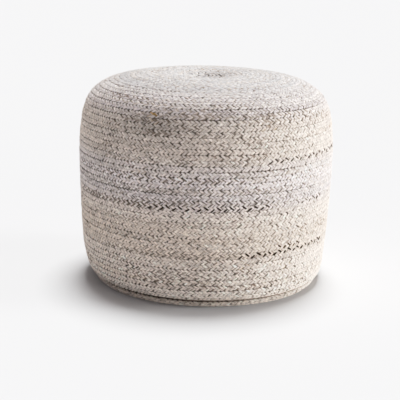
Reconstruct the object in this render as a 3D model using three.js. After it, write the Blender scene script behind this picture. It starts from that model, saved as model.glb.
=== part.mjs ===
// A round braided pouf: a filled cover wound from one flat braid, on a base panel of the same braid.
// The braid starts in the dimple of the crown, winds outward over the soft shoulder, and runs down
// the wall to a seam near the floor. The rim turn of the base panel shows under that seam.
// Millimetres, +Z up, the origin on the floor under the middle of the pouf.
import * as THREE from "three";

// Driving dimensions.
const WIDTH = 500; // across the belly of the wall, crest to crest
const HEIGHT = 406; // from the floor to the highest turn of the crown
const BRAID_PITCH = 10.3; // from one turn of the braid to the next
const RIB_DEPTH = 2.4; // from a turn's crest down to the groove beside it
const PANEL_THICKNESS = 6; // thickness of the base panel
const FOOT_RADIUS = 209; // edge of the flat that stands on the floor
const SEAM_RADIUS = 217; // bottom of the seam groove, where cover and panel meet
const SEAM_HEIGHT = 11.6; // height of that groove above the floor
const DIMPLE_SHIFT = 10; // the dimple lies this far to the right of the middle
const SHIFT_REACH = 150; // that shift dies out at this radius
const FOOT_SHIFT = 4.5; // the foot stands this far to the right of the middle
const FOOT_REACH = 78; // and that shift dies out at this height
const SWELL = 1.1; // how far the filling pushes the form out or lets it fall in
const GAP = 0.3; // clearance between the panel and the cover
const WINDING_START = 123; // degrees round the axis where each turn of the braid is counted from
const FIRST_GROOVE = 3.6; // the braid's first groove lies at least this far up from the seam
const LAST_TURN = 7.2; // its last crest or groove lies at least this far from the dimple's middle
const COLUMNS = 44; // steps round the pouf
const HALVES_IN_A_TURN = 2; // a turn of the braid is a crest and a groove

// The swell is a sum of waves round the pouf. turned is in radians, and lean in radians for each
// millimetre of height.
const SWELL_WAVES = [
  { waves: 2, share: 1, turned: 0.8, lean: 0 },
  { waves: 4, share: 0.6, turned: -1.1, lean: 0.011 },
];

// The cover from the seam up the wall, over the shoulder and in to the middle of the dimple.
// out is a share of half the width, up is a share of the height.
const COVER_FORM = [
  { out: 0.909, up: 0.031 },
  { out: 0.936, up: 0.06 },
  { out: 0.952, up: 0.098 },
  { out: 0.962, up: 0.142 },
  { out: 0.972, up: 0.2 },
  { out: 0.979, up: 0.27 },
  { out: 0.985, up: 0.345 },
  { out: 0.99, up: 0.42 },
  { out: 0.995, up: 0.495 },
  { out: 0.999, up: 0.57 },
  { out: 1.0, up: 0.635 },
  { out: 0.997, up: 0.7 },
  { out: 0.988, up: 0.765 },
  { out: 0.97, up: 0.83 },
  { out: 0.935, up: 0.885 },
  { out: 0.876, up: 0.929 },
  { out: 0.79, up: 0.961 },
  { out: 0.69, up: 0.98 },
  { out: 0.58, up: 0.991 },
  { out: 0.46, up: 0.998 },
  { out: 0.34, up: 1.0 },
  { out: 0.24, up: 0.998 },
  { out: 0.175, up: 0.988 },
  { out: 0.12, up: 0.97 },
  { out: 0.06, up: 0.954 },
  { out: 0.0, up: 0.95 },
];

// The rim of the base panel, from the edge of its flat underside out over the rim turn to its top.
const PANEL_OUTSIDE = [
  { r: FOOT_RADIUS, z: 0 },
  { r: 214.5, z: 0.7 },
  { r: 218.5, z: 2.8 },
  { r: 219.6, z: 6.4 },
  { r: 218.3, z: 9.2 },
  { r: 214.5, z: 10.6 },
];

// The inside of the panel, from that top edge down into its flat inner face.
const PANEL_INSIDE = [
  { r: 210, z: 9.4 },
  { r: 204, z: 7.1 },
  { r: 192, z: PANEL_THICKNESS },
];

const coverCurve = new THREE.SplineCurve(
  COVER_FORM.map(({ out, up }) => new THREE.Vector2((out * WIDTH) / 2, up * HEIGHT)),
);
coverCurve.arcLengthDivisions = 2000;
const COVER_LENGTH = coverCurve.getLength();

// How far the filling moves the form out at this angle and height.
function swellAt(angle, z) {
  const middle = Math.sin((Math.PI * Math.min(z, HEIGHT)) / HEIGHT);
  const sum = SWELL_WAVES.reduce(
    (total, { waves, share, turned, lean }) =>
      total + share * Math.cos(waves * angle + turned + lean * z),
    0,
  );
  return SWELL * middle * sum;
}

// Falls smoothly from 1 at nothing to 0 at reach.
function fade(value, reach) {
  return 1 - THREE.MathUtils.smoothstep(value, 0, reach);
}

// A point of the pouf from its angle, radius and height, with the swell and the two shifts.
function place(angle, r, z) {
  const radius = r > 0 ? r + swellAt(angle, z) * Math.min(1, r / SHIFT_REACH) : 0;
  const onCrown = z > HEIGHT / 2 ? fade(r, SHIFT_REACH) : 0;
  const shift = DIMPLE_SHIFT * onCrown + FOOT_SHIFT * fade(z, FOOT_REACH);
  return new THREE.Vector3(radius * Math.cos(angle) + shift, radius * Math.sin(angle), z);
}

// A point at a distance along the cover's form, sunk below the crests by depth.
function coverPoint(angle, distance, depth) {
  const share = distance / COVER_LENGTH;
  const point = coverCurve.getPointAt(share);
  const along = coverCurve.getTangentAt(share);
  return place(angle, point.x - depth * along.y, point.y + depth * along.x);
}

// One column of the cover: the level rings of its underside, the seam groove, then the crests and
// grooves of the braid, which climb by one pitch in each turn, up to the middle of the dimple.
// key orders the points of neighbouring columns, so that each crest joins the next one's crest:
// zero or less on the level rings, and one for each half turn on the braid.
function coverColumn(step) {
  const angle = (2 * Math.PI * step) / COLUMNS + THREE.MathUtils.degToRad(WINDING_START);
  const climb = (BRAID_PITCH * step) / COLUMNS;
  const half = BRAID_PITCH / HALVES_IN_A_TURN;
  const column = [];
  const underside = [...PANEL_OUTSIDE.slice(-1), ...PANEL_INSIDE].reverse();
  underside.forEach(({ r, z }, index) => {
    column.push({ key: index - underside.length, at: place(angle, r - GAP, z + GAP) });
  });
  column.push({ key: 0, at: place(angle, SEAM_RADIUS, SEAM_HEIGHT) });
  const first = Math.ceil((FIRST_GROOVE - climb) / half);
  const last = Math.floor((COVER_LENGTH - LAST_TURN - climb) / half);
  for (let index = first; index <= last; index += 1) {
    const distance = index * half + climb;
    const depth = index % HALVES_IN_A_TURN === 0 ? RIB_DEPTH : 0;
    column.push({ key: index + HALVES_IN_A_TURN, at: coverPoint(angle, distance, depth) });
  }
  return column;
}

// One column of the base panel: its rim outside, its rim inside, back to the flat inner face.
function panelColumn(step) {
  const angle = (2 * Math.PI * step) / COLUMNS + THREE.MathUtils.degToRad(WINDING_START);
  return [...PANEL_OUTSIDE, ...PANEL_INSIDE].map(({ r, z }, index) => ({
    key: index,
    at: place(angle, r, z),
  }));
}

// A closed body from columns of points that share their lowest and highest point on the axis.
// gain is what the braid's keys in the first column lose when it is met again after a full turn.
function solidOfColumns(columnOf, bottom, top, gain) {
  const columns = Array.from({ length: COLUMNS }, (_, step) => columnOf(step));
  const points = [bottom, top];
  columns.forEach((column) => {
    column.forEach((entry) => {
      entry.index = points.length;
      points.push(entry.at);
    });
  });
  const faces = [];
  columns.forEach((column, step) => {
    const wraps = step === COLUMNS - 1;
    const next = columns[wraps ? 0 : step + 1];
    const nextKey = (entry) => entry.key - (wraps && entry.key > 0 ? gain : 0);
    let a = 0;
    let b = 0;
    faces.push(0, next[0].index, column[0].index);
    while (a < column.length - 1 || b < next.length - 1) {
      const stepA = a < column.length - 1 ? column[a + 1].key : Infinity;
      const stepB = b < next.length - 1 ? nextKey(next[b + 1]) : Infinity;
      if (stepB <= stepA) {
        faces.push(column[a].index, next[b].index, next[b + 1].index);
        b += 1;
      } else {
        faces.push(column[a].index, next[b].index, column[a + 1].index);
        a += 1;
      }
    }
    faces.push(column[a].index, next[b].index, 1);
  });
  const geometry = new THREE.BufferGeometry().setFromPoints(points);
  geometry.setIndex(faces);
  geometry.computeVertexNormals();
  return geometry;
}

// The filled, braid-wound cover.
function buildCover() {
  const bottom = new THREE.Vector3(0, 0, PANEL_THICKNESS + GAP);
  const middle = coverCurve.getPointAt(1);
  const geometry = solidOfColumns(coverColumn, bottom, place(0, 0, middle.y), HALVES_IN_A_TURN);
  const yarn = new THREE.MeshStandardMaterial({ color: 0xd2ccc4, roughness: 0.95, metalness: 0 });
  const mesh = new THREE.Mesh(geometry, yarn);
  mesh.name = "cover";
  return mesh;
}

// The base panel with its rim turn, flat where it stands.
function buildBasePanel() {
  const bottom = new THREE.Vector3(0, 0, 0);
  const top = new THREE.Vector3(0, 0, PANEL_THICKNESS);
  const geometry = solidOfColumns(panelColumn, bottom, top, 0);
  const yarn = new THREE.MeshStandardMaterial({ color: 0xc6beb4, roughness: 0.95, metalness: 0 });
  const mesh = new THREE.Mesh(geometry, yarn);
  mesh.name = "base_panel";
  return mesh;
}

const pouf = new THREE.Group();
pouf.add(buildCover(), buildBasePanel());

export default pouf;
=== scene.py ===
"""Looks of a braided pouf: its filled body, the braid wound over it, and a plain studio."""

import logging
import math
from dataclasses import dataclass, field
from enum import Enum
from typing import Any, Callable, NamedTuple, TypeVar

import bpy
import numpy as np
from mathutils import Matrix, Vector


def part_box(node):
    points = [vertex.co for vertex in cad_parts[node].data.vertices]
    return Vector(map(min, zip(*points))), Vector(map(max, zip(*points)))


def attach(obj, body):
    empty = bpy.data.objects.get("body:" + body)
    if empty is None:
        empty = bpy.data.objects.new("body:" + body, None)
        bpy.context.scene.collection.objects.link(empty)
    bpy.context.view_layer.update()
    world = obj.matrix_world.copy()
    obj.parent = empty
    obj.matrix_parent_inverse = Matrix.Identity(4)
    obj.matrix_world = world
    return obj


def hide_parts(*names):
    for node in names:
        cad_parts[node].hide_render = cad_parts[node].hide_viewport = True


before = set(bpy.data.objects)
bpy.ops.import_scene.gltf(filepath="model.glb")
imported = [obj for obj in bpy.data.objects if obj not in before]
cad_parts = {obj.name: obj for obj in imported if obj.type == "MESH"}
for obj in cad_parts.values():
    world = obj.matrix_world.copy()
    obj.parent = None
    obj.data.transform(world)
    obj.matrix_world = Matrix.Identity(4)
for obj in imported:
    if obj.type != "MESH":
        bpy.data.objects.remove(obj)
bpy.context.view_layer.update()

log = logging.getLogger("pouf")

MM = 0.001
TURN = 2.0 * math.pi
ROOT = "root"
WIDTH = 500.0
PITCH = 10.3
COVER_START = -0.7
BAKE_MAP = "OFBake"

Array = np.ndarray
Triple = tuple[float, float, float]
Row = TypeVar("Row")


def table(kind: Callable[..., Row], *rows: tuple[Any, ...]) -> tuple[Row, ...]:
    """Returns a table's rows as named tuples of one kind."""
    return tuple(kind(*row) for row in rows)


class FormPoint(NamedTuple):
    """One point of a profile, as shares of half the width and of the height."""

    out: float
    up: float


class RimPoint(NamedTuple):
    """One point of a section near the floor, in millimetres from the axis and from the floor."""

    r: float
    z: float


COVER_FORM = table(
    FormPoint,
    (0.909, 0.031), (0.936, 0.06), (0.952, 0.098), (0.962, 0.142), (0.972, 0.2), (0.979, 0.27),
    (0.985, 0.345), (0.99, 0.42), (0.995, 0.495), (0.999, 0.57), (1.0, 0.635), (0.997, 0.7),
    (0.988, 0.765), (0.97, 0.83), (0.935, 0.885), (0.876, 0.929), (0.79, 0.961), (0.69, 0.98),
    (0.58, 0.991), (0.46, 0.998), (0.34, 1.0), (0.24, 0.998), (0.175, 0.988), (0.12, 0.97),
    (0.06, 0.954), (0.0, 0.95),
)

PANEL_FORM = table(
    RimPoint,
    (215.5, 11.6), (219.8, 9.8), (221.4, 6.2), (220.8, 2.4), (217.5, 0.4), (211.5, 0.0),
    (203.5, 0.0), (196.0, 0.0), (182.0, 0.0), (150.0, 0.0), (100.0, 0.0), (50.0, 0.0), (0.0, 0.0),
)

DISC_FORM = table(
    RimPoint,
    (0.0, 2.6), (211.0, 2.8), (215.0, 4.0), (216.8, 6.4), (215.4, 8.4), (212.5, 9.2),
    (204.0, 7.0), (192.0, 6.0), (0.0, 6.0),
)

BODY_UNDERSIDE = table(
    RimPoint,
    (0.0, 7.0), (192.0, 7.0), (212.0, 11.2), (216.5, 12.0),
)


class SwellWave(NamedTuple):
    """One wave of the filling round the pouf, with its turn and its lean by height in radians."""

    waves: float
    share: float
    turned: float
    lean: float


SWELL_WAVES = (
    SwellWave(2.0, 1.0, 0.8, 0.0),
    SwellWave(4.0, 0.6, -1.1, 0.011),
)


def smooth(value: Array | float, low: float, high: float) -> Array:
    """Rises smoothly from 0 at low to 1 at high.

    Args:
        value: Numbers to map.
        low: Where the rise starts.
        high: Where the rise ends.

    Returns:
        The mapped numbers.
    """
    share = np.clip((np.asarray(value, float) - low) / (high - low), 0.0, 1.0)
    return share * share * (3.0 - 2.0 * share)


class Wander:
    """A smooth random line, the same on every run, for things that drift along the braid."""

    def __init__(self, seed: int, knots: int = 4096) -> None:
        """Draws the knots of the line.

        Args:
            seed: Picks the line.
            knots: How many knots it has before it repeats.
        """
        self.knots = np.random.default_rng(seed).uniform(-1.0, 1.0, knots)

    def __call__(self, place: Array) -> Array:
        """Reads the line.

        Args:
            place: Positions, one unit from knot to knot.

        Returns:
            Numbers from -1 to 1.
        """
        low = np.floor(place).astype(int)
        share = smooth(place - low, 0.0, 1.0)
        count = len(self.knots)
        return self.knots[low % count] * (1.0 - share) + self.knots[(low + 1) % count] * share


class Drift(NamedTuple):
    """A wandering line along the braid: its number, its waves' length and its step by yarn."""

    line: int
    length: float
    apart: float = 0.0

    def read(self, seed: int, along: Array, track: Array | float = 0.0) -> Array:
        """Reads the line.

        Args:
            seed: The braid's own seed.
            along: Places along the braid, in millimetres.
            track: Which yarn is read, where the yarns differ.

        Returns:
            Numbers from -1 to 1.
        """
        return Wander(seed + self.line)(along / self.length + track * self.apart)


@dataclass(frozen=True)
class PoufForm:
    """The filled form: what is turned about the axis, and how the filling and the floor bend it."""

    width: float
    height: float
    swell: float = 1.1
    dimple_shift: float = 5.5
    shift_reach: float = 150.0
    foot_shift: float = 4.5
    foot_reach: float = 78.0

    def place(self, angle: Array, radius: Array, height: Array) -> Array:
        """Puts points that are given round the axis into the row frame.

        Args:
            angle: Angle round the axis, in radians.
            radius: Distance from the axis, in millimetres.
            height: Height above the floor, in millimetres.

        Returns:
            Points in metres, in rows of three.
        """
        middle = np.sin(np.pi * np.clip(height, 0.0, self.height) / self.height)
        waves = sum(
            wave.share * np.cos(wave.waves * angle + wave.turned + wave.lean * height)
            for wave in SWELL_WAVES
        )
        near = np.clip(radius / self.shift_reach, 0.0, 1.0)
        out = radius + self.swell * middle * waves * near
        inward = 1.0 - smooth(radius, 0.0, self.shift_reach)
        on_crown = np.where(height > self.height / 2.0, inward, 0.0)
        at_foot = 1.0 - smooth(height, 0.0, self.foot_reach)
        shift = self.dimple_shift * on_crown + self.foot_shift * at_foot
        above = np.maximum(height, 0.0)
        return np.stack((out * np.cos(angle) + shift, out * np.sin(angle), above), axis=-1) * MM


class Profile:
    """A smooth line in the half plane beside the axis, measured along its length."""

    STEPS = 40

    def __init__(self, form: PoufForm, points: Array, outward: float) -> None:
        """Draws the line through its points.

        Args:
            form: The form that the line belongs to.
            points: Radius and height of each point, in millimetres.
            outward: 1 if the outside lies to the right of the line's way, -1 if to the left.
        """
        self.form = form
        line = self.through(points)
        steps = np.hypot(*np.diff(line, axis=0).T)
        self.distance = np.concatenate(([0.0], np.cumsum(steps)))
        self.length = float(self.distance[-1])
        self.radius, self.height = line.T
        along = np.gradient(line, self.distance, axis=0)
        along /= np.linalg.norm(along, axis=1, keepdims=True)
        self.out_radius = outward * along[:, 1]
        self.out_height = -outward * along[:, 0]

    @classmethod
    def through(cls, points: Array) -> Array:
        """Draws the even Catmull-Rom line through a few points.

        Args:
            points: The points, in rows of two.

        Returns:
            Many points on that line.
        """
        count = len(points)
        share = np.linspace(0.0, 1.0, cls.STEPS, endpoint=False)[:, None]
        stretches = []
        for index in range(count - 1):
            start, end = points[index], points[index + 1]
            leave = (end - points[max(index - 1, 0)]) / 2.0
            reach = (points[min(index + 2, count - 1)] - start) / 2.0
            cubic = 2.0 * start - 2.0 * end + leave + reach
            square = 3.0 * end - 3.0 * start - 2.0 * leave - reach
            stretches.append(((cubic * share + square) * share + leave) * share + start)
        return np.vstack((*stretches, points[-1:]))

    def radius_at(self, distance: Array) -> Array:
        """Returns the distance from the axis at distances along the line."""
        return np.interp(distance, self.distance, self.radius)

    def points(self, angle: Array, distance: Array, rise: Array) -> Array:
        """Finds places on or near the turned surface.

        Args:
            angle: Angle round the axis, in radians.
            distance: Distance along the profile, in millimetres.
            rise: Height above the surface, in millimetres, negative below it.

        Returns:
            Points in metres, in rows of three.
        """
        radius = self.radius_at(distance)
        radius = radius + rise * np.interp(distance, self.distance, self.out_radius)
        height = np.interp(distance, self.distance, self.height)
        height = height + rise * np.interp(distance, self.distance, self.out_height)
        return self.form.place(angle, np.maximum(radius, 0.0), height)


class RowShift(NamedTuple):
    """How much higher than evenly wound a turn of the braid lies, in millimetres."""

    turn: float
    shift: float


COVER_SHIFTS = table(
    RowShift,
    (0.0, 1.2), (4.0, 2.4), (8.0, 2.4), (10.0, 1.3), (13.0, 0.8), (16.0, -0.4), (19.0, -0.8),
    (22.0, -0.2), (25.0, 0.8), (28.0, 0.3), (32.0, 0.3), (36.0, 2.0), (42.0, 3.0), (54.0, 0.0),
)

EVEN_SHIFTS = (RowShift(0.0, 0.0),)


@dataclass
class Winding:
    """How the middle of the braid winds over a profile, turn beside turn."""

    profile: Profile
    pitch: float
    first_turn: float
    last_turn: float
    start_angle: float = 0.0
    jog: float = 1.0
    shifts: tuple[RowShift, ...] = EVEN_SHIFTS
    steps_a_turn: int = 360
    narrowest: float = 0.05
    turns: Array = field(init=False)
    along: Array = field(init=False)

    def __post_init__(self) -> None:
        """Measures the braid along its middle."""
        count = int((self.last_turn - self.first_turn) * self.steps_a_turn) + 1
        self.turns = np.linspace(self.first_turn, self.last_turn, count)
        radius = self.profile.radius_at(self.middle(self.turns))
        steps = (radius[1:] + radius[:-1]) / 2.0 * np.diff(self.turns) * TURN
        self.along = np.concatenate(([0.0], np.cumsum(steps)))

    @property
    def length(self) -> float:
        """The braid's whole length in millimetres."""
        return float(self.along[-1])

    def middle(self, turns: Array) -> Array:
        """Distance along the profile of the braid's middle.

        Args:
            turns: Turns of the braid from where its first full turn starts.

        Returns:
            Distances in millimetres. A jog of 1 climbs evenly, and a shorter one climbs only at
            the end of each turn and leaves the rest of it level.
        """
        whole = np.floor(turns)
        share = (turns - whole - (1.0 - self.jog)) / self.jog
        climb = share if self.jog >= 1.0 else smooth(share, 0.0, 1.0)
        at, shift = zip(*self.shifts)
        return self.pitch * (whole + 0.5 + climb) + np.interp(turns, at, shift)

    def narrowing(self, turns: Array) -> Array:
        """Returns how wide the braid is at its tucked-in end, as a share of its width."""
        width = (self.middle(turns) + self.pitch / 2.0) / self.pitch
        return np.clip(width, self.narrowest, 1.0)

    def turns_at(self, along: Array) -> Array:
        """Returns the turns at places along the braid's length."""
        return np.interp(along, self.along, self.turns)


class StitchKnot(NamedTuple):
    """One place along a yarn's stitch on the upper half of the braid, in millimetres.

    Its shade is painted shade: the ends are painted darker, where they dive into the shade between
    the strands.
    """

    along: float
    across: float
    rise: float
    shade: float


class SectionPoint(NamedTuple):
    """One point of a yarn's section: its place across in half widths, its drop and its shades.

    The shades are painted shade on the yarn's edges: the first is for the inner yarn of a strand and
    the second for the outer one, because the painted shade beside the other strands is deeper than
    the line between a strand's own yarns.
    """

    across: float
    drop: float
    inner_shade: float
    outer_shade: float


# The last column is painted shade: it paints each yarn darker at its tips, where it dives under the
# other strands.
INNER_YARN = (
    StitchKnot(-5.2, 3.5, -1.4, 0.2),
    StitchKnot(-3.6, 3.55, -0.2, 0.9),
    StitchKnot(-1.5, 2.5, 0.0, 1.0),
    StitchKnot(0.7, 0.75, -0.3, 1.0),
    StitchKnot(2.7, -0.9, -0.9, 0.7),
    StitchKnot(4.2, -2.1, -2.4, 0.1),
)

OUTER_YARN = (
    StitchKnot(-8.2, 4.6, -1.3, 0.45),
    StitchKnot(-6.4, 4.7, -0.4, 0.95),
    StitchKnot(-4.1, 4.2, 0.0, 1.0),
    StitchKnot(-1.6, 2.6, 0.0, 1.0),
    StitchKnot(1.0, 0.6, -0.8, 0.7),
    StitchKnot(2.9, -1.0, -2.4, 0.1),
)

# The last two columns are painted shade on the yarns' edges, darkest beside the other strands.
ROUND_SECTION = (
    SectionPoint(-1.0, 1.4, 0.03, 0.4),
    SectionPoint(-0.5, 0.1, 0.95, 1.0),
    SectionPoint(0.5, 0.1, 1.0, 0.95),
    SectionPoint(1.0, 1.4, 0.4, 0.03),
)

# The shades are painted shade that makes the ridge's edges a little darker.
RIDGE_SECTION = (
    SectionPoint(-1.0, 1.6, 0.7, 0.8),
    SectionPoint(0.0, 0.0, 1.0, 1.0),
    SectionPoint(1.0, 1.6, 0.8, 0.7),
)


@dataclass(frozen=True)
class BraidLay:
    """How three strands of two yarns each cross in the flat braid, and how deep the painted shade in
    the gaps is.

    Lengths are in millimetres. The painted shade's tint makes the gaps warmer as they are painted
    darker. The seam shade edge is how far from the seam its painted shade starts to lift and where it
    has gone.
    """

    period: float = 23.5
    yarn_half: float = 1.22
    strands: int = 3
    yarns: tuple[tuple[StitchKnot, ...], ...] = (INNER_YARN, OUTER_YARN)
    section: tuple[SectionPoint, ...] = ROUND_SECTION
    tip_drop: float = 0.3
    pair_closing: float = 0.26
    tuck: float = 4.0
    first_yarn: float = 0.4
    seam_painted_shade: float = 0.3
    seam_shade_edge: tuple[float, float] = (1.3, 4.2)
    deepest_painted_shade: float = 0.02
    painted_shade_tint: Triple = (1.0, 1.12, 1.25)

    @property
    def tracks(self) -> int:
        """How many yarns the braid has."""
        return self.strands * len(self.yarns)

    @property
    def spacing(self) -> float:
        """The way along the braid from one stitch to the next, in millimetres."""
        return self.period / self.tracks


class StitchShape:
    """The mesh of one yarn where it shows on the face: a ridge that rises, crosses and dives."""

    def __init__(self, lay: BraidLay) -> None:
        """Lays out the points of each yarn's stitch.

        Args:
            lay: How the braid is made.
        """
        knots = np.array(lay.yarns)
        section = np.array(lay.section)
        way = np.gradient(knots[:, :, :2], axis=1)
        way /= np.linalg.norm(way, axis=2, keepdims=True)
        rings = slice(1, -1)
        ends = [0, -1]
        size = len(section)
        self.rings = knots.shape[1] - 2
        self.size = size
        self.points = self.rings * size + 2
        self.along = self.joined(knots[:, rings, 0], knots[:, ends, 0])
        self.away = self.joined(knots[:, rings, 1], knots[:, ends, 1])
        self.rise = self.joined(knots[:, rings, 2], knots[:, ends, 2] - lay.tip_drop)
        self.square_along = self.joined(-way[:, rings, 1], 0.0 * way[:, ends, 1])
        self.square_away = self.joined(way[:, rings, 0], 0.0 * way[:, ends, 0])
        self.across = np.concatenate((np.tile(section[:, 0], self.rings), (0.0, 0.0)))
        self.drop = np.concatenate((np.tile(section[:, 1], self.rings), (0.0, 0.0)))
        # Painted shade: the knots' shades times the section's shades paint each yarn darker at its
        # tips and edges.
        side_shade = np.tile(section[:, 2:].T, (1, self.rings))
        side_shade = np.concatenate((side_shade, np.ones((len(knots), 2))), axis=1)
        self.shade = self.joined(knots[:, rings, 3], knots[:, ends, 3]) * side_shade
        share = np.linspace(0.0, 1.0, knots.shape[1])
        self.share = self.joined(share[None, rings], share[None, ends])[0]
        self.quads, self.tips = self.faces()

    def joined(self, rings: Array, ends: Array) -> Array:
        """Returns numbers for every point from those of the rings and of the two tips."""
        return np.concatenate((np.repeat(rings, self.size, axis=1), ends), axis=1)

    def faces(self) -> tuple[Array, Array]:
        """Numbers the corners of a stitch's faces.

        Returns:
            The quads between the rings and the triangles at the tips.
        """
        size = self.size
        quads = []
        for ring in range(self.rings - 1):
            for here in range(ring * size, (ring + 1) * size - 1):
                quads.append((here, here + size, here + size + 1, here + 1))
        first, last = self.rings * size, self.rings * size + 1
        end = (self.rings - 1) * size
        tips = [(first, step, step + 1) for step in range(size - 1)]
        tips += [(last, end + step + 1, end + step) for step in range(size - 1)]
        return np.array(quads), np.array(tips)


class Tone(Enum):
    """Yarn colours as linear reflectance."""

    IVORY = (0.765, 0.710, 0.660)
    GREIGE = (0.620, 0.545, 0.490)
    SAND = (0.640, 0.554, 0.484)
    BEIGE = (0.660, 0.560, 0.460)
    LILAC_GREY = (0.618, 0.569, 0.567)
    PALE_GREY = (0.675, 0.668, 0.680)
    TAUPE = (0.360, 0.310, 0.268)
    BROWN = (0.150, 0.105, 0.075)
    UMBER = (0.075, 0.048, 0.030)
    CHARCOAL = (0.026, 0.016, 0.010)
    OCHRE = (0.420, 0.265, 0.100)

    @property
    def colour(self) -> Array:
        """The tone as an array of three numbers."""
        return np.array(self.value)


class Band(NamedTuple):
    """The ground tone at one turn of the braid, counted from its outer end; its shade is partly
    painted light.
    """

    turn: float
    tone: Tone
    shade: float


# The shades are partly the yarns' own tone bands and partly painted light: the foot and lower wall
# are painted lighter and the crown darker, to stand in for how the light falls on them.
COVER_BANDS = table(
    Band,
    (0.0, Tone.GREIGE, 1.43), (3.0, Tone.GREIGE, 1.43), (6.6, Tone.GREIGE, 1.35),
    (8.4, Tone.SAND, 1.11), (10.2, Tone.SAND, 1.19), (12.0, Tone.SAND, 1.145),
    (15.5, Tone.GREIGE, 1.32), (18.7, Tone.LILAC_GREY, 1.15), (22.0, Tone.LILAC_GREY, 1.33),
    (23.6, Tone.LILAC_GREY, 1.25), (25.8, Tone.GREIGE, 1.17), (29.0, Tone.GREIGE, 1.13),
    (32.0, Tone.GREIGE, 0.94), (34.4, Tone.LILAC_GREY, 0.92), (42.0, Tone.PALE_GREY, 0.775),
    (52.5, Tone.PALE_GREY, 0.77), (55.5, Tone.PALE_GREY, 0.82),
)

# The tone is the yarn's own, and the shade above 1 is painted light: it paints the rim lighter where
# the cover's overhang shades it.
PANEL_BANDS = (
    Band(0.0, Tone.GREIGE, 1.35),
    Band(22.0, Tone.GREIGE, 1.25),
)


class Patch(NamedTuple):
    """A soft patch of lighter or darker yarn: its turn, its share of that turn, and its reach."""

    turn: float
    share: float
    turns: float
    shares: float
    light: float


COVER_PATCHES = table(
    Patch,
    (30.0, 0.55, 4.6, 0.08, 0.2), (31.6, 0.355, 1.5, 0.035, -0.2),
    (28.5, 0.335, 1.8, 0.05, -0.12), (24.5, 0.27, 3.0, 0.03, -0.12),
    # The last patch on the next line, at turn 0.27, is painted shade: the shadow line along the seam
    # at the foot.
    (37.3, 0.36, 1.8, 0.06, 0.22), (22.6, 0.53, 1.5, 0.05, 0.12), (0.27, 0.27, 0.5, 0.07, -0.3),
    (18.8, 0.43, 1.6, 0.03, 0.08), (13.2, 0.415, 1.7, 0.03, 0.1), (31.8, 0.32, 1.8, 0.045, -0.14),
)


class YarnRun(NamedTuple):
    """A stretch of one yarn dyed another tone: from turn to turn, on which of the braid's yarns.

    Depth is how fully it takes the tone, and swell how much thicker and prouder it lies.
    """

    tone: Tone
    start: float
    end: float
    track: int
    depth: float
    swell: float = 1.0


DYED_RUNS = {
    Tone.TAUPE: (
        (1.44, 1.48, 1, 0.9), (2.34, 2.4, 3, 0.9), (4.34, 4.43, 4, 0.9), (5.34, 5.43, 2, 0.9),
        (6.27, 6.33, 4, 0.9), (8.33, 8.42, 3, 0.9), (9.4, 9.46, 2, 0.8), (11.295, 11.36, 1, 1.0),
        (18.33, 18.42, 5, 0.9), (18.46, 18.55, 5, 0.8), (19.285, 19.31, 3, 0.9),
        (20.39, 20.5, 0, 0.9), (23.44, 23.54, 3, 0.9), (25.27, 25.48, 2, 0.9),
        (27.31, 27.35, 4, 0.8), (28.415, 28.44, 2, 0.9), (28.46, 28.56, 5, 0.8),
        (30.295, 30.33, 3, 0.9), (30.39, 30.43, 0, 1.0), (32.44, 32.6, 0, 1.0),
        (33.31, 33.57, 2, 1.0), (34.355, 34.42, 1, 1.0), (35.26, 35.37, 2, 1.0),
        (35.41, 35.47, 4, 0.9),
    ),
    Tone.CHARCOAL: (
        (1.485, 1.51, 1, 0.8), (5.3, 5.33, 2, 0.9), (8.45, 8.6, 0, 1.0, 1.1),
        (17.34, 17.49, 0, 1.0, 1.2), (25.48, 25.64, 2, 0.9),
    ),
    Tone.BROWN: (
        (1.53, 1.57, 1, 0.8), (2.4, 2.49, 3, 0.9), (3.31, 3.37, 0, 0.8), (4.3, 4.33, 4, 0.8),
        (5.445, 5.47, 2, 0.9), (17.24, 17.36, 3, 0.6), (26.415, 26.49, 1, 0.8),
        (30.335, 30.37, 0, 0.7), (30.335, 30.37, 2, 0.7), (30.335, 30.37, 3, 0.7),
        (32.295, 32.35, 0, 0.8), (33.38, 33.42, 5, 0.8), (33.45, 33.5, 4, 0.7),
        (36.25, 36.33, 0, 0.8),
    ),
    Tone.UMBER: (
        (8.27, 8.45, 0, 0.75), (9.5, 9.545, 2, 1.0), (17.2, 17.34, 0, 0.9), (17.53, 17.58, 0, 0.9),
        (18.31, 18.5, 2, 0.8), (20.34, 20.38, 0, 0.8), (22.2, 22.46, 4, 0.78),
    ),
    Tone.OCHRE: (
        (33.335, 33.349, 1, 0.9), (33.335, 33.349, 2, 0.9),
    ),
}

COVER_RUNS = tuple(YarnRun(tone, *row) for tone, rows in DYED_RUNS.items() for row in rows)


class Share(NamedTuple):
    """How often a yarn or a stitch takes a tone, and how strongly."""

    tone: Tone
    share: float
    depth: float


LONG_RUNS = table(
    Share,
    (Tone.IVORY, 0.22, 0.7), (Tone.BEIGE, 0.07, 0.6), (Tone.GREIGE, 0.10, 0.8),
    (Tone.TAUPE, 0.03, 0.8), (Tone.BROWN, 0.006, 0.8),
)

FLECKS = table(
    Share,
    (Tone.IVORY, 0.06, 0.7), (Tone.TAUPE, 0.03, 0.9), (Tone.BROWN, 0.012, 0.9),
    (Tone.OCHRE, 0.002, 0.7),
)


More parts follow.
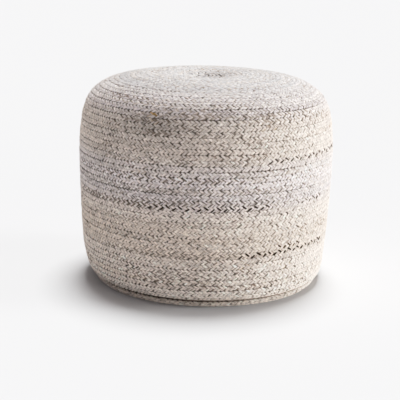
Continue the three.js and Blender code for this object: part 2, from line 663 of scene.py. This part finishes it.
@dataclass(frozen=True)
class Heather:
    """The colours of the yarns along the braid: ground bands, heather runs, flecks and dyed runs.

    The run and fleck lengths are in millimetres of braid, and the run fade in turns. The picks
    come from one list of random draws, which the yarns read far apart.
    """

    SLOTS = 65536
    YARN_STEP = 7919
    DEPTH_STEP = 31
    DEPTH_START = 17

    seed: int
    bands: tuple[Band, ...]
    runs: tuple[YarnRun, ...] = ()
    patches: tuple[Patch, ...] = ()
    run_length: float = 420.0
    fleck_length: float = 30.0
    run_drift: Drift = Drift(1, 900.0, 311.0)
    run_stray: float = 0.8
    yarns: float = 6.0
    least_depth: float = 0.5
    run_fade: float = 0.004
    slow_drift: Drift = Drift(2, 700.0, 97.0)
    slow_light: float = 0.05
    strand_light: float = 0.06
    stitch_light: float = 0.09
    lightness: tuple[float, float] = (0.45, 1.5)
    reflectance: tuple[float, float] = (0.01, 0.92)

    def ground(self, turns: Array) -> Array:
        """Returns the bands' tone at turns of the braid, in rows of three."""
        places = [band.turn for band in self.bands]
        colours = np.array([band.tone.colour * band.shade for band in self.bands])
        return np.stack([np.interp(turns, places, colours[:, c]) for c in range(3)], axis=-1)

    def patched(self, turns: Array) -> Array:
        """Returns how much lighter the patches make the yarn at turns of the braid."""
        light = np.zeros(len(turns))
        for patch in self.patches:
            above = (turns - patch.turn) / patch.turns
            beside = (turns % 1.0 - patch.share) / patch.shares
            apart = np.hypot(above, beside)
            light += patch.light * np.exp(-apart * apart)
        return light

    def picked(self, colour: Array, shares: tuple[Share, ...], pick: Array, depth: Array) -> Array:
        """Dyes a share of the stitches in each of a few tones.

        Args:
            colour: The stitches' colours so far.
            shares: The tones and how often they come.
            pick: A random number from 0 to 1 for each stitch.
            depth: How much of the tone's depth each stitch takes.

        Returns:
            The new colours.
        """
        reach = 0.0
        for entry in shares:
            chosen = (pick >= reach) & (pick < reach + entry.share)
            strength = (depth * entry.depth * chosen)[:, None]
            colour = colour + strength * (entry.tone.colour - colour)
            reach += entry.share
        return colour

    def colours(self, turns: Array, along: Array, track: Array, strand: Array) -> tuple[Array, Array]:
        """Dyes each stitch.

        Args:
            turns: Turns of the braid at each stitch.
            along: Place of each stitch along the braid, in millimetres.
            track: Which of the braid's yarns each stitch is part of.
            strand: Number of the strand's crossing that each stitch is part of.

        Returns:
            Linear colours in rows of three, and how fully each stitch belongs to a dyed run.
        """
        rng = np.random.default_rng(self.seed)
        draws = rng.random(self.SLOTS)
        stray = self.run_stray * self.run_drift.read(self.seed, along, track)
        colour = self.ground(turns)
        for shares, length in ((LONG_RUNS, self.run_length), (FLECKS, self.fleck_length)):
            slot = np.floor(along / length + stray + track / self.yarns).astype(int)
            slot = slot + self.YARN_STEP * track
            pick = draws[slot % self.SLOTS]
            deep = draws[(slot * self.DEPTH_STEP + self.DEPTH_START) % self.SLOTS]
            depth = self.least_depth + (1.0 - self.least_depth) * deep
            colour = self.picked(colour, shares, pick, depth)
        dyed = np.zeros(len(turns))
        for run in self.runs:
            inside = smooth(turns, run.start, run.start + self.run_fade)
            inside *= 1.0 - smooth(turns, run.end - self.run_fade, run.end)
            chosen = inside * (track == run.track) * run.depth
            colour += chosen[:, None] * (run.tone.colour - colour)
            dyed = np.maximum(dyed, chosen * run.swell)
        slow = self.slow_drift.read(self.seed, along, track)
        light = 1.0 + self.slow_light * slow + rng.normal(0.0, self.stitch_light, len(turns))
        light += rng.normal(0.0, self.strand_light, strand.max() + 1)[strand]
        light += self.patched(turns)
        light = np.clip(light, *self.lightness)
        return np.clip(colour * light[:, None], *self.reflectance), dyed


@dataclass(frozen=True)
class Unevenness:
    """How far the hand-laid yarns stray from the ideal braid, in millimetres.

    Widths, leans and marls are shares, and the gaps are shares of the full painted shade in them.
    This painted shade eases between the two crown turns, where the light falls in from above.
    """

    seed: int
    slip: float = 0.35
    strand_slip: float = 0.7
    sink: float = 0.16
    width: float = 0.1
    lean: float = 0.05
    drift: float = 1.6
    drift_line: Drift = Drift(7, 85.0)
    wave: float = 0.6
    wave_line: Drift = Drift(5, 110.0)
    bulge: float = 0.4
    bulge_line: Drift = Drift(6, 160.0)
    bulge_top: float = 0.25
    gap: float = 0.36
    gap_shade_depth: float = 0.88
    gap_shade_range: tuple[float, float] = (0.2, 1.08)
    crown_shade_ease: float = 0.55
    crown_turns: tuple[float, float] = (34.5, 39.5)
    marl: float = 0.09
    fibre_places: float = 200.0
    dyed_rise: float = 0.5
    dyed_width: float = 0.5


class MeshPiece:
    """Turns arrays of points and faces into a Blender object."""

    @staticmethod
    def make(name: str, points: Array, loops: Array, sizes: Array) -> bpy.types.Object:
        """Makes the object and links it to the scene.

        Args:
            name: Name of the piece.
            points: Points in metres, in rows of three.
            loops: Point number of each face corner, face after face.
            sizes: How many corners each face has.

        Returns:
            The new object, with smooth faces.
        """
        mesh = bpy.data.meshes.new(name)
        mesh.vertices.add(len(points))
        mesh.vertices.foreach_set("co", np.ascontiguousarray(points, np.float32).ravel())
        mesh.loops.add(len(loops))
        mesh.loops.foreach_set("vertex_index", np.ascontiguousarray(loops, np.int32))
        mesh.polygons.add(len(sizes))
        starts = np.concatenate(([0], np.cumsum(sizes)[:-1])).astype(np.int32)
        mesh.polygons.foreach_set("loop_start", starts)
        mesh.update(calc_edges=True)
        mesh.validate()
        mesh.shade_smooth()
        piece = bpy.data.objects.new(name, mesh)
        bpy.context.scene.collection.objects.link(piece)
        return piece

    @staticmethod
    def attribute(piece: bpy.types.Object, name: str, kind: str, values: Array) -> None:
        """Stores a value for each point.

        Args:
            piece: The object.
            name: Name of the attribute.
            kind: FLOAT_COLOR or FLOAT_VECTOR.
            values: One row for each point.
        """
        layer = piece.data.attributes.new(name, kind, "POINT")
        key = "color" if kind == "FLOAT_COLOR" else "vector"
        layer.data.foreach_set(key, np.ascontiguousarray(values, np.float32).ravel())


class Braid:
    """A winding dressed with its yarns."""

    DARKEST = 0.004
    LIGHTEST = 0.95
    FIBRE_STRETCH = 1.3
    CELL_SHAPE = 2.2
    CELL_EDGE = 0.06

    def __init__(self, winding: Winding, lay: BraidLay, heather: Heather, uneven: Unevenness) -> None:
        """Lays out every visible stitch of the braid.

        Args:
            winding: Where the braid runs.
            lay: How its strands cross.
            heather: What colours its yarns have.
            uneven: How far they stray.
        """
        self.winding = winding
        self.lay = lay
        self.shape = StitchShape(lay)
        self.uneven = uneven
        rng = np.random.default_rng(uneven.seed)
        count = int(winding.length / lay.spacing)
        number = np.arange(2 * count) // 2 + 1
        self.side = np.where(np.arange(2 * count) % 2 == 0, 1.0, -1.0)
        self.start = number * lay.spacing
        self.track = (number + np.where(self.side > 0.0, 0, lay.tracks // 2)) % lay.tracks
        self.yarn = (number + (self.side < 0.0)) % len(lay.yarns)
        self.turns = winding.turns_at(self.start)
        total = len(self.start)
        strand = (number + (self.side < 0.0)) // len(lay.yarns) * 2 + (self.side < 0.0)
        self.colour, dyed = heather.colours(self.turns, self.start, self.track, strand)
        strand_slips = rng.normal(0.0, uneven.strand_slip, strand.max() + 1)
        self.slips = rng.normal(0.0, uneven.slip, total) + strand_slips[strand]
        self.slips -= lay.pair_closing * (2.0 * self.yarn - 1.0)
        self.slips += uneven.drift * uneven.drift_line.read(uneven.seed, self.start)
        self.sinks = rng.normal(0.0, uneven.sink, total) + uneven.dyed_rise * dyed
        self.widths = 1.0 + rng.normal(0.0, uneven.width, total) + uneven.dyed_width * dyed
        self.leans = rng.normal(0.0, uneven.lean, total)
        # How deep the painted shade in each stitch's gaps is, eased on the crown.
        self.gaps = np.clip(rng.normal(uneven.gap_shade_depth, uneven.gap, total), *uneven.gap_shade_range)
        self.gaps *= 1.0 - uneven.crown_shade_ease * smooth(self.turns, *uneven.crown_turns)
        self.seeds = rng.uniform(0.0, uneven.fibre_places, total)
        self.marls = 1.0 + rng.normal(0.0, uneven.marl, (total, self.shape.rings))

    def stretch(self, name: str, first: float, last: float) -> bpy.types.Object:
        """Makes the piece that holds the stitches between two turns.

        Args:
            name: Name of the piece.
            first: Turn where it starts.
            last: Turn where it ends.

        Returns:
            The new object, with its colours, fibre places and bake map.
        """
        chosen = np.flatnonzero((self.turns >= first) & (self.turns < last))
        winding, lay, shape, uneven = self.winding, self.lay, self.shape, self.uneven
        yarn = self.yarn[chosen]
        side = self.side[chosen, None]
        aside = shape.across * lay.yarn_half * self.widths[chosen, None]
        way = shape.along[yarn] + shape.square_along[yarn] * aside
        away = shape.away[yarn] + shape.square_away[yarn] * aside
        away = away + self.leans[chosen, None] * way
        rise = shape.rise[yarn] - shape.drop + self.sinks[chosen, None]
        along = self.start[chosen, None] + self.slips[chosen, None] + way
        along = np.clip(along, 0.0, winding.length)
        turns = winding.turns_at(along)
        narrow = winding.narrowing(turns)
        drift = uneven.wave_line.read(uneven.seed, along) * uneven.wave
        bulge = uneven.bulge_line.read(uneven.seed, along) * uneven.bulge
        bulge = np.minimum(bulge, uneven.bulge_top) - uneven.bulge_top
        middle = winding.middle(turns) + winding.pitch * (1.0 - narrow) / 2.0
        distance = middle + (side * away + drift) * narrow
        distance = np.clip(distance, lay.first_yarn, winding.profile.length)
        rise = rise + bulge - lay.tuck * (1.0 - narrow)
        angle = winding.start_angle + turns * TURN
        corners = self.corners(side[:, 0])
        piece = self.mesh(name, winding.profile.points(angle, distance, rise), corners)
        # Painted shade beside the seam: the yarn is painted darker near the seam, and the shade lifts
        # further off.
        seam = lay.seam_painted_shade + (1.0 - lay.seam_painted_shade) * smooth(distance, *lay.seam_shade_edge)
        self.colour_yarns(piece, chosen, seam)
        self.place_fibres(piece, chosen)
        self.map_for_bake(piece, corners)
        return piece

    def corners(self, side: Array) -> Array:
        """Numbers the corners of each stitch's faces, so that the faces look outward.

        Args:
            side: 1 for a stitch on the upper half of the braid, -1 on the lower half.

        Returns:
            Point numbers within the stitch, face after face, one row for each stitch.
        """
        quads, tips = self.shape.quads, self.shape.tips
        flat = np.concatenate((quads.ravel(), tips.ravel()))
        turned = np.concatenate((quads[:, ::-1].ravel(), tips[:, ::-1].ravel()))
        outward = side > 0.0 if self.winding.profile.out_height[-1] > 0.0 else side < 0.0
        return np.where(outward[:, None], flat, turned)

    def mesh(self, name: str, points: Array, corners: Array) -> bpy.types.Object:
        """Joins the stitches into one mesh.

        Args:
            name: Name of the piece.
            points: Points of each stitch, in metres.
            corners: Point numbers of each stitch's face corners.

        Returns:
            The new object.
        """
        count = len(points)
        base = (np.arange(count) * self.shape.points)[:, None]
        faces = (self.shape.quads, self.shape.tips)
        sizes = np.concatenate([np.full(len(kind), kind.shape[1]) for kind in faces])
        sizes = np.tile(sizes, count)
        return MeshPiece.make(name, points.reshape(-1, 3), (base + corners).ravel(), sizes)

    def colour_yarns(self, piece: bpy.types.Object, chosen: Array, seam: Array) -> None:
        """Stores each point's colour: its stitch's tone, its marl and the painted shade of the gaps.

        Args:
            piece: The braid's piece.
            chosen: Numbers of its stitches.
            seam: How much of its colour each point keeps under the painted shade beside the seam.
        """
        shape = self.shape
        # Painted shade: points are painted darker in the gaps and beside the seam, and warmer as they
        # darken.
        painted_shade = seam * (1.0 - self.gaps[chosen, None] * (1.0 - shape.shade[self.yarn[chosen]]))
        painted_shade = np.clip(painted_shade, self.lay.deepest_painted_shade, 1.0).reshape(-1, 1) ** self.lay.painted_shade_tint
        marl = shape.joined(self.marls[chosen], np.ones((len(chosen), 2))).reshape(-1, 1)
        colour = np.repeat(self.colour[chosen], shape.points, axis=0) * painted_shade * marl
        colour = np.clip(colour, self.DARKEST, self.LIGHTEST)
        tone = np.concatenate((colour, np.ones((len(colour), 1))), axis=1)
        MeshPiece.attribute(piece, "tone", "FLOAT_COLOR", tone)

    def place_fibres(self, piece: bpy.types.Object, chosen: Array) -> None:
        """Stores each point's place along and across its yarn, and which yarn it is.

        Args:
            piece: The braid's piece.
            chosen: Numbers of its stitches.
        """
        shape = self.shape
        ways = shape.along[self.yarn[chosen]] * self.FIBRE_STRETCH
        across = np.tile(shape.across * self.lay.yarn_half, (len(chosen), 1))
        seeds = np.repeat(self.seeds[chosen, None], shape.points, 1)
        fibre = np.stack((ways, across, seeds), -1)
        MeshPiece.attribute(piece, "fibre", "FLOAT_VECTOR", fibre.reshape(-1, 3))

    def map_for_bake(self, piece: bpy.types.Object, corners: Array) -> None:
        """Gives each stitch its own cell of the piece's bake map.

        Args:
            piece: The braid's piece.
            corners: Point numbers of each stitch's face corners.
        """
        shape = self.shape
        count = len(corners)
        own = np.stack((shape.share, (shape.across + 1.0) / 2.0), -1)
        columns = int(math.ceil(math.sqrt(count / self.CELL_SHAPE)))
        rows = int(math.ceil(count / columns))
        cell = np.stack((np.arange(count) % columns, np.arange(count) // columns), -1)
        inside = own[corners] * (1.0 - 2.0 * self.CELL_EDGE) + self.CELL_EDGE
        places = (inside + cell[:, None, :]) / np.array((columns, rows))
        layer = piece.data.uv_layers.new(name=BAKE_MAP)
        layer.uv.foreach_set("vector", np.ascontiguousarray(places, np.float32).ravel())


class Body:
    """A closed, turned body that lies under the yarns and fills the gaps between them."""

    def __init__(self, form: PoufForm, columns: int = 72) -> None:
        """Keeps the form.

        Args:
            form: The pouf's form.
            columns: Steps round the body.
        """
        self.form = form
        self.columns = columns

    def turned(self, name: str, section: Array) -> bpy.types.Object:
        """Turns a section about the axis.

        Args:
            name: Name of the piece.
            section: Radius and height from the axis below, round the outside, to the axis above.

        Returns:
            The new closed object.
        """
        inner = section[1:-1]
        angle = np.arange(self.columns) * TURN / self.columns
        shape = (self.columns, len(inner))
        around = np.broadcast_to(angle[:, None], shape)
        ring = self.form.place(around, *(np.broadcast_to(inner[:, c], shape) for c in range(2)))
        poles = self.form.place(np.zeros(2), section[[0, -1], 0], section[[0, -1], 1])
        points = np.concatenate((ring.reshape(-1, 3), poles))
        size = len(inner)
        low, high = self.columns * size, self.columns * size + 1
        loops: list[int] = []
        sizes: list[int] = []
        for column in range(self.columns):
            here, there = column * size, (column + 1) % self.columns * size
            loops += [low, there, here]
            for step in range(size - 1):
                loops += [here + step, there + step, there + step + 1, here + step + 1]
            loops += [here + size - 1, there + size - 1, high]
            sizes += [3] + [4] * (size - 1) + [3]
        return MeshPiece.make(name, points, np.array(loops), np.array(sizes))


class Wire:
    """A shader socket that can be used in an expression."""

    def __init__(self, graph: "Graph", socket: bpy.types.NodeSocket | None) -> None:
        """Wraps the socket.

        Args:
            graph: The graph it belongs to.
            socket: An output socket, or nothing for a node that has none.
        """
        self.graph = graph
        self.socket = socket

    def joined(self, operation: str, first: Any, second: Any) -> "Wire":
        """Returns the result of a Math node."""
        return self.graph.node("ShaderNodeMath", {"operation": operation}, {0: first, 1: second})

    def __add__(self, other: Any) -> "Wire":
        """Adds."""
        return self.joined("ADD", self, other)

    def __radd__(self, other: Any) -> "Wire":
        """Adds, with the wire on the right."""
        return self.joined("ADD", other, self)

    def __sub__(self, other: Any) -> "Wire":
        """Subtracts."""
        return self.joined("SUBTRACT", self, other)

    def __rsub__(self, other: Any) -> "Wire":
        """Subtracts, with the wire on the right."""
        return self.joined("SUBTRACT", other, self)

    def __mul__(self, other: Any) -> "Wire":
        """Multiplies."""
        return self.joined("MULTIPLY", self, other)

    def __rmul__(self, other: Any) -> "Wire":
        """Multiplies, with the wire on the right."""
        return self.joined("MULTIPLY", other, self)


class Graph:
    """The nodes of one material."""

    NOISE_ROUGHNESS = 0.6

    def __init__(self, name: str) -> None:
        """Starts an empty material.

        Args:
            name: Name of the material.
        """
        self.material = bpy.data.materials.new(name)
        self.material.use_nodes = True
        self.tree = self.material.node_tree
        self.tree.nodes.clear()

    def node(
        self, kind: str, settings: dict[str, Any], sockets: dict[Any, Any], output: Any = 0
    ) -> Wire:
        """Adds a node.

        Args:
            kind: Type of the node.
            settings: Its settings, which are set first.
            sockets: Values or wires of its inputs, by name or number.
            output: Name or number of the output that is returned.

        Returns:
            The output, as a wire without a socket where the node has none.
        """
        node = self.tree.nodes.new(kind)
        for key, value in settings.items():
            setattr(node, key, value)
        for key, value in sockets.items():
            if isinstance(value, Wire):
                self.tree.links.new(value.socket, node.inputs[key])
            else:
                node.inputs[key].default_value = value
        return Wire(self, node.outputs[output] if len(node.outputs) else None)

    def attribute(self, name: str, output: str) -> Wire:
        """Returns an attribute of the piece's points."""
        return self.node("ShaderNodeAttribute", {"attribute_name": name}, {}, output)

    def stretched(self, vector: Wire, scale: Triple) -> Wire:
        """Returns a vector multiplied by a scale for each axis."""
        return self.node("ShaderNodeVectorMath", {"operation": "MULTIPLY"}, {0: vector, 1: scale})

    def brightened(self, colour: Wire, factor: Wire) -> Wire:
        """Returns a colour multiplied by a number."""
        sockets = {0: colour, "Scale": factor}
        return self.node("ShaderNodeVectorMath", {"operation": "SCALE"}, sockets)

    def noise(self, vector: Wire, scale: float, detail: float) -> Wire:
        """Returns soft noise from 0 to 1."""
        settings = {"noise_dimensions": "3D"}
        sockets = {"Vector": vector, "Scale": scale, "Detail": detail}
        sockets["Roughness"] = self.NOISE_ROUGHNESS
        return self.node("ShaderNodeTexNoise", settings, sockets, "Fac")

    def bump(self, height: Wire, strength: float, distance: float) -> Wire:
        """Returns a normal bent by a height."""
        sockets = {"Strength": strength, "Distance": distance, "Height": height}
        return self.node("ShaderNodeBump", {}, sockets, "Normal")

    def finish(self, sockets: dict[str, Any]) -> bpy.types.Material:
        """Adds the surface shader and the output.

        Args:
            sockets: Values or wires of the surface shader's inputs.

        Returns:
            The finished material.
        """
        surface = self.node("ShaderNodeBsdfPrincipled", {}, sockets, "BSDF")
        self.node("ShaderNodeOutputMaterial", {}, {"Surface": surface})
        return self.material


class Grain(NamedTuple):
    """A soft noise on the yarn: its stretch along, across and from yarn to yarn, and its scale."""

    stretch: Triple
    scale: float
    detail: float


@dataclass(frozen=True)
class YarnFinish:
    """Soft, heathered, loosely spun yarn.

    The spun grain is the yarn's twisted fibres, and the heather grain its blend of tones. Each
    adds its share to the light that the tone is multiplied by. The bump's depth is in metres.
    """

    name: str
    spun: Grain = Grain((0.35, 2.2, 1.0), 1.6, 3.0)
    heather: Grain = Grain((0.8, 1.3, 1.0), 0.9, 2.0)
    light: float = 0.62
    spun_light: float = 0.44
    heather_light: float = 0.32
    roughness: float = 0.9
    spun_roughness: float = 0.08
    sheen: float = 0.02
    sheen_roughness: float = 0.5
    specular: float = 0.06
    heather_height: float = 0.5
    fibre_bump: float = 0.35
    fibre_depth: float = 0.0006

    def build(self) -> bpy.types.Material:
        """Returns the material."""
        graph = Graph(self.name)
        tone = graph.attribute("tone", "Color")
        fibre = graph.attribute("fibre", "Vector")
        spun, heather = (
            graph.noise(graph.stretched(fibre, grain.stretch), grain.scale, grain.detail)
            for grain in (self.spun, self.heather)
        )
        light = self.light + self.spun_light * spun + self.heather_light * heather
        height = spun + self.heather_height * heather
        return graph.finish(
            {
                "Base Color": graph.brightened(tone, light),
                "Roughness": self.roughness + self.spun_roughness * spun,
                "Sheen Weight": self.sheen,
                "Sheen Roughness": self.sheen_roughness,
                "Specular IOR Level": self.specular,
                "Normal": graph.bump(height, self.fibre_bump, self.fibre_depth),
            }
        )


@dataclass(frozen=True)
class GapShadeFinish:
    """Mottled yarn deep between the stitches, painted dark as shade; it hardly shows. Lengths are in
    metres.
    """

    name: str
    colour: Triple = (0.075, 0.058, 0.044)
    mottle_scale: float = 300.0
    mottle_detail: float = 3.0
    light: float = 0.7
    mottle_light: float = 0.6
    roughness: float = 0.97
    mottle_bump: float = 0.4
    mottle_depth: float = 0.001

    def build(self) -> bpy.types.Material:
        """Returns the material."""
        graph = Graph(self.name)
        place = graph.node("ShaderNodeTexCoord", {}, {}, "Object")
        mottle = graph.noise(place, self.mottle_scale, self.mottle_detail)
        base = graph.node("ShaderNodeCombineXYZ", {}, dict(enumerate(self.colour)))
        colour = graph.brightened(base, self.light + self.mottle_light * mottle)
        normal = graph.bump(mottle, self.mottle_bump, self.mottle_depth)
        sockets = {"Base Color": colour, "Roughness": self.roughness, "Normal": normal}
        return graph.finish(sockets)


@dataclass(frozen=True)
class FloorFinish:
    """The plain, matte studio floor."""

    name: str = "pale floor"
    colour: Triple = (0.685, 0.697, 0.711)

    def build(self) -> bpy.types.Material:
        """Returns the material."""
        colour = (*self.colour, 1.0)
        sockets = {"Base Color": colour, "Roughness": 1.0, "Specular IOR Level": 0.0}
        return Graph(self.name).finish(sockets)


class Section(NamedTuple):
    """A stretch of the cover's braid that is one piece."""

    name: str
    first: float
    last: float


@dataclass
class Cover:
    """The filled cover: its body and the braid wound over it.

    The braid starts before its first full turn, tucked into the seam, and stops short of the
    dimple's middle by a share of its width. The body keeps every few points of the profile,
    sunk below the crests, from the seam to near the axis.
    """

    form: PoufForm
    pitch: float = PITCH
    first_turn: float = COVER_START
    stops_short: float = 0.12
    start_angle: float = math.radians(-237.0)
    body_depth: float = 3.1
    body_step: int = 16
    body_foot: float = 14.0
    body_middle: float = 0.5
    heather: Heather = Heather(11, COVER_BANDS, COVER_RUNS, COVER_PATCHES)
    uneven: Unevenness = Unevenness(5)
    sections: tuple[Section, ...] = (
        Section("braid_foot", COVER_START, 9.0),
        Section("braid_lower_wall", 9.0, 18.0),
        Section("braid_middle_wall", 18.0, 27.0),
        Section("braid_upper_wall", 27.0, 36.5),
        Section("braid_crown", 36.5, 58.0),
    )

    def profile(self) -> Profile:
        """Returns the profile through the crests of the cover."""
        points = np.array(COVER_FORM) * (self.form.width / 2.0, self.form.height)
        return Profile(self.form, points, 1.0)

    def build(self, yarn: bpy.types.Material, gap: bpy.types.Material) -> None:
        """Makes the body and every stretch of braid.

        Args:
            yarn: Finish of the braid.
            gap: Finish of the body under it, painted dark as shade in the gaps.
        """
        profile = self.profile()
        body = Body(self.form).turned("cover_body", self.body_section(profile))
        settle(body, gap, "cover")
        turns = (profile.length - self.stops_short * self.pitch) / self.pitch - 0.5
        winding = Winding(
            profile, self.pitch, self.first_turn, turns, self.start_angle, shifts=COVER_SHIFTS
        )
        braid = Braid(winding, BraidLay(), self.heather, self.uneven)
        for section in self.sections:
            piece = braid.stretch(section.name, section.first, section.last)
            settle(piece, yarn, "cover")

    def body_section(self, profile: Profile) -> Array:
        """Returns the section of the body, sunk below the crests."""
        pick = slice(0, None, self.body_step)
        rise = -self.body_depth
        radius = profile.radius[pick] + rise * profile.out_radius[pick]
        height = profile.height[pick] + rise * profile.out_height[pick]
        outside = np.stack((np.maximum(radius, 0.0), height), axis=-1)
        kept = (outside[:, 0] > self.body_middle) & (outside[:, 1] > self.body_foot)
        above = np.array(((0.0, profile.height[-1] + rise),))
        return np.concatenate((np.array(BODY_UNDERSIDE), outside[kept], above))


@dataclass
class BasePanel:
    """The round bottom panel: its disc and the braid on it, in level turns that jog inward."""

    form: PoufForm
    pitch: float = PITCH
    jog: float = 0.2
    start_angle: float = math.radians(126.0)
    lay: BraidLay = BraidLay(period=29.0, yarn_half=1.45, section=RIDGE_SECTION)
    heather: Heather = Heather(23, PANEL_BANDS)
    uneven: Unevenness = Unevenness(9, sink=0.08, gap_shade_depth=0.6, drift=0.6)

    def build(self, yarn: bpy.types.Material, gap: bpy.types.Material) -> None:
        """Makes the disc and its braid.

        Args:
            yarn: Finish of the braid.
            gap: Finish of the disc under it, painted dark as shade in the seam and the gaps.
        """
        disc = Body(self.form).turned("base_disc", np.array(DISC_FORM))
        settle(disc, gap, "base_panel")
        profile = Profile(self.form, np.array(PANEL_FORM), -1.0)
        rings = round(profile.length / self.pitch)
        first, last = -self.jog, rings - self.jog
        pitch = profile.length / rings
        winding = Winding(profile, pitch, first, last, self.start_angle, self.jog)
        braid = Braid(winding, self.lay, self.heather, self.uneven)
        piece = braid.stretch("base_braid", first, last)
        settle(piece, yarn, "base_panel")


def settle(piece: bpy.types.Object, finish: bpy.types.Material, node: str) -> None:
    """Gives a piece its finish and its place in the part.

    Args:
        piece: The piece.
        finish: Its material.
        node: The solid that it stands for.
    """
    piece.data.materials.append(finish)
    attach(piece, ROOT)
    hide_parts(node)
    log.info("%s: %d points", piece.name, len(piece.data.vertices))


class FilmPoint(NamedTuple):
    """How bright a light from the scene is shown, both linear."""

    light: float
    shown: float


SHOULDER = table(
    FilmPoint,
    (0.0, 0.0), (0.1, 0.1), (0.2, 0.2), (0.35, 0.35), (0.613, 0.578), (0.833, 0.716),
    (1.081, 0.831), (1.334, 0.923), (1.6, 1.0),
)


class SoftSun(NamedTuple):
    """A soft light from one direction: its spread and its turn from straight down in degrees."""

    name: str
    strength: float
    spread: float
    turn: Triple
    colour: Triple


SUNS = (
    SoftSun("overhead", 4.9, 22.0, (13.0, 0.0, 162.0), (1.01, 1.0, 0.99)),
    SoftSun("side", 8.85, 24.0, (89.0, 0.0, 90.0), (0.985, 0.99, 0.97)),
    SoftSun("fill", 1.01, 30.0, (89.0, 0.0, 40.0), (1.0, 0.98, 0.96)),
)


@dataclass(frozen=True)
class Studio:
    """A pale floor, three soft suns, even light from all round, the film curve and the camera.

    The camera's place is in metres and degrees: how far it stands from the point it circles, how
    high that point and the camera lie, and how it is turned down, aside and about its own axis.
    """

    ALL_CHANNELS = 3

    distance: float = 2.2
    aim_height: float = 0.195
    elevation: float = 13.07
    pitch_down: float = 1.15
    yaw: float = -0.25
    roll: float = 1.19
    focal_pixels: float = 1099.0
    frame_pixels: float = 400.0
    sensor: float = 36.0
    floor_half: float = 60.0
    world_colour: Triple = (1.035, 0.94, 0.945)
    world_strength: float = 0.252

    def build(self) -> None:
        """Makes the floor, the lights and the camera."""
        self.floor()
        for sun in SUNS:
            self.hang(sun)
        self.world()
        self.camera()
        self.film()

    def film(self) -> None:
        """Rolls the highlights off softly, as the camera's film or sensor does."""
        view = bpy.context.scene.view_settings
        view.view_transform = "Standard"
        view.look = "None"
        view.use_curve_mapping = True
        mapping = view.curve_mapping
        white = SHOULDER[-1].light
        mapping.white_level = (white, white, white)
        points = mapping.curves[self.ALL_CHANNELS].points
        for index, place in enumerate(SHOULDER):
            if 0 < index < len(SHOULDER) - 1:
                points.new(place.light / white, place.shown)
        points[0].location = (0.0, 0.0)
        points[-1].location = (1.0, SHOULDER[-1].shown)
        mapping.update()

    def floor(self) -> None:
        """Makes the pale floor."""
        square = np.array(((-1.0, -1.0, 0.0), (1.0, -1.0, 0.0), (1.0, 1.0, 0.0), (-1.0, 1.0, 0.0)))
        corners = len(square)
        points = square * self.floor_half
        floor = MeshPiece.make("studio_floor", points, np.arange(corners), np.array((corners,)))
        floor.data.materials.append(FloorFinish().build())

    def hang(self, sun: SoftSun) -> None:
        """Adds one of the suns.

        Args:
            sun: The light to add.
        """
        light = bpy.data.lights.new(sun.name, "SUN")
        light.energy = sun.strength
        light.angle = math.radians(sun.spread)
        light.color = sun.colour
        lamp = bpy.data.objects.new(sun.name, light)
        lamp.rotation_euler = [math.radians(angle) for angle in sun.turn]
        bpy.context.scene.collection.objects.link(lamp)

    def world(self) -> None:
        """Lights everything evenly from all round."""
        world = bpy.data.worlds.new("studio")
        world.use_nodes = True
        background = world.node_tree.nodes["Background"]
        background.inputs["Color"].default_value = (*self.world_colour, 1.0)
        background.inputs["Strength"].default_value = self.world_strength
        bpy.context.scene.world = world

    def camera(self) -> None:
        """Sets the camera where the picture was taken from."""
        data = bpy.data.cameras.new("camera")
        data.sensor_width = self.sensor
        data.lens = self.focal_pixels / self.frame_pixels * self.sensor
        camera = bpy.data.objects.new("camera", data)
        rise = math.radians(self.elevation)
        down = math.radians(self.elevation + self.pitch_down)
        yaw = math.radians(self.yaw)
        level = math.cos(down)
        ahead = np.array((math.sin(yaw) * level, math.cos(yaw) * level, -math.sin(down)))
        right = np.array((math.cos(yaw), -math.sin(yaw), 0.0))
        up = np.cross(right, ahead)
        turned = Matrix(np.stack((right, up, -ahead), axis=1).tolist()).to_4x4()
        spin = Matrix.Rotation(math.radians(self.roll), 4, "Z")
        height = self.aim_height + self.distance * math.sin(rise)
        place = Matrix.Translation((0.0, -self.distance * math.cos(rise), height))
        camera.matrix_world = place @ turned @ spin
        bpy.context.scene.collection.objects.link(camera)
        bpy.context.scene.camera = camera


def main() -> None:
    """Builds the pouf and the studio."""
    logging.basicConfig(level=logging.INFO, format="%(name)s: %(message)s")
    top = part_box("cover")[1][2]
    form = PoufForm(WIDTH, top / MM)
    Studio().build()
    yarn = YarnFinish("braid yarn").build()
    # The gap and seam finishes are painted shade: dark yarn under the stitches and in the seam.
    gap = GapShadeFinish("yarn painted dark as shade between the stitches").build()
    seam = GapShadeFinish("yarn painted dark as shade in the seam", colour=(0.06, 0.044, 0.032)).build()
    Cover(form).build(yarn, gap)
    BasePanel(form).build(yarn, seam)


if __name__ == "__main__":
    main()
